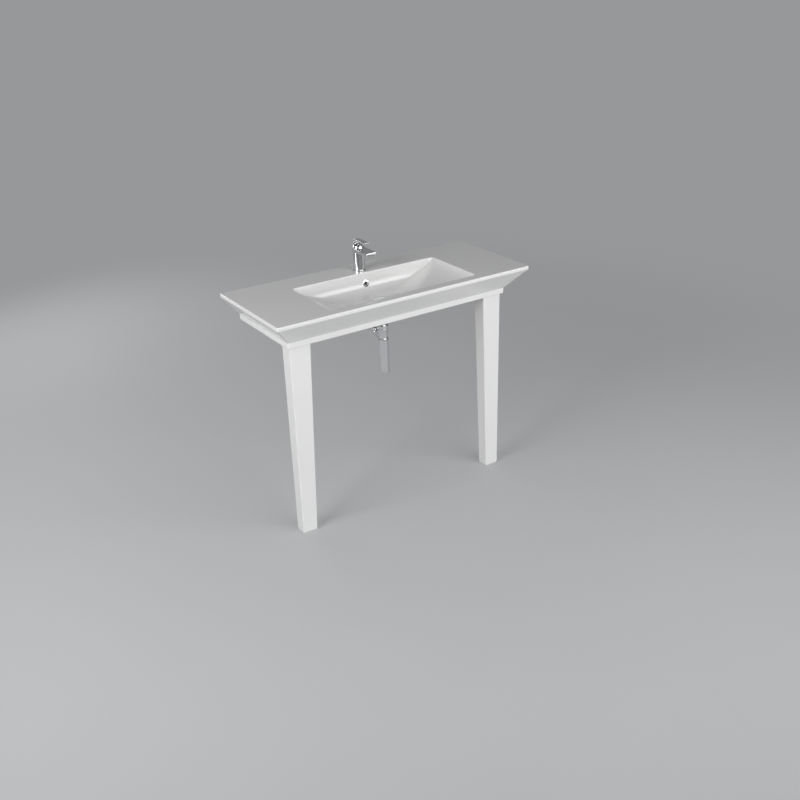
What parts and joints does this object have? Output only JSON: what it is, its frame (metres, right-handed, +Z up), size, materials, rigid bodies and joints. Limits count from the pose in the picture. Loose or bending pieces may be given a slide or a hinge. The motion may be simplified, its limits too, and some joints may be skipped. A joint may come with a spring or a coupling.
{
  "type": "washbasin",
  "caption": "Wide rectangular ceramic console washbasin on two tapered front legs, with a sloping bowl, single-lever mixer tap and chrome bottle trap",
  "frame": {"origin": "on the wall plane, midway between the two fixing holes in the back of the basin", "axes": "+X along the wall to the right of someone facing the basin, +Y into the wall, +Z up"},
  "size_m": [1.08, 0.476, 0.9819],
  "materials": {
    "ceramic": "white glaze",
    "chrome": "polished",
    "steel": "plain",
    "brass": "machined",
    "black_rubber": "matt",
    "white_rubber": "matt",
    "moulded_plastic": "moulded",
    "index_plastic": "gloss"
  },
  "bodies": {
    "basin_set": {"basin": "ceramic", "leg_left": "ceramic", "leg_right": "ceramic", "overflow_ring": "chrome", "tap_body": "chrome", "aerator_housing": "chrome", "waste_body": "chrome", "waste_tail": "chrome", "trap_head": "chrome", "trap_inlet_nut": "chrome", "trap_bottle": "chrome", "trap_outlet_pipe": "chrome", "trap_outlet_nut": "chrome", "wall_rosette": "chrome", "leg_studs": "steel", "leg_nuts": "steel", "leg_washers": "steel", "tap_stud": "steel", "tap_clamp_plate": "steel", "tap_clamp_nut": "brass", "cartridge_ring_nut": "brass", "waste_lock_nut": "brass", "tap_base_gasket": "black_rubber", "tap_clamp_rubber": "black_rubber", "aerator_washer": "black_rubber", "waste_top_seal": "black_rubber", "waste_cone_seal": "black_rubber", "trap_inlet_seal": "black_rubber", "trap_bottle_seal": "black_rubber", "trap_outlet_seal": "black_rubber", "leg_gasket_left": "white_rubber", "leg_gasket_right": "white_rubber", "foot_pad_left": "white_rubber", "foot_pad_right": "white_rubber", "cartridge_housing": "moulded_plastic", "aerator_insert": "moulded_plastic", "waste_plug_guide": "moulded_plastic", "trap_dip_tube": "moulded_plastic"},
    "lever_swivel_body": {"cartridge_rotor": "moulded_plastic", "cartridge_pin": "steel"},
    "lever_body": {"lever": "chrome", "cartridge_spindle": "steel", "lever_index_plug": "index_plastic", "lever_grub_screw": "steel"},
    "plug_body": {"waste_plug": "chrome", "waste_plug_seal": "black_rubber", "waste_plug_stem": "steel"}
  },
  "joints": [
    {"name": "lever_swivel", "type": "hinge", "parent": "basin_set", "child": "lever_swivel_body", "pos_m": [0, -0.075, 0.162], "axis": [0, 0, 1], "range_deg": [-45, 45]},
    {"name": "lever_lift", "type": "hinge", "parent": "lever_swivel_body", "child": "lever_body", "pos_m": [0, -0.075, 0.162], "axis": [-1, 0, 0], "range_deg": [0, 25]},
    {"name": "plug_slide", "type": "slide", "parent": "basin_set", "child": "plug_body", "axis": [0, 0, 1], "range_m": [0, 0.008]}
  ]
}
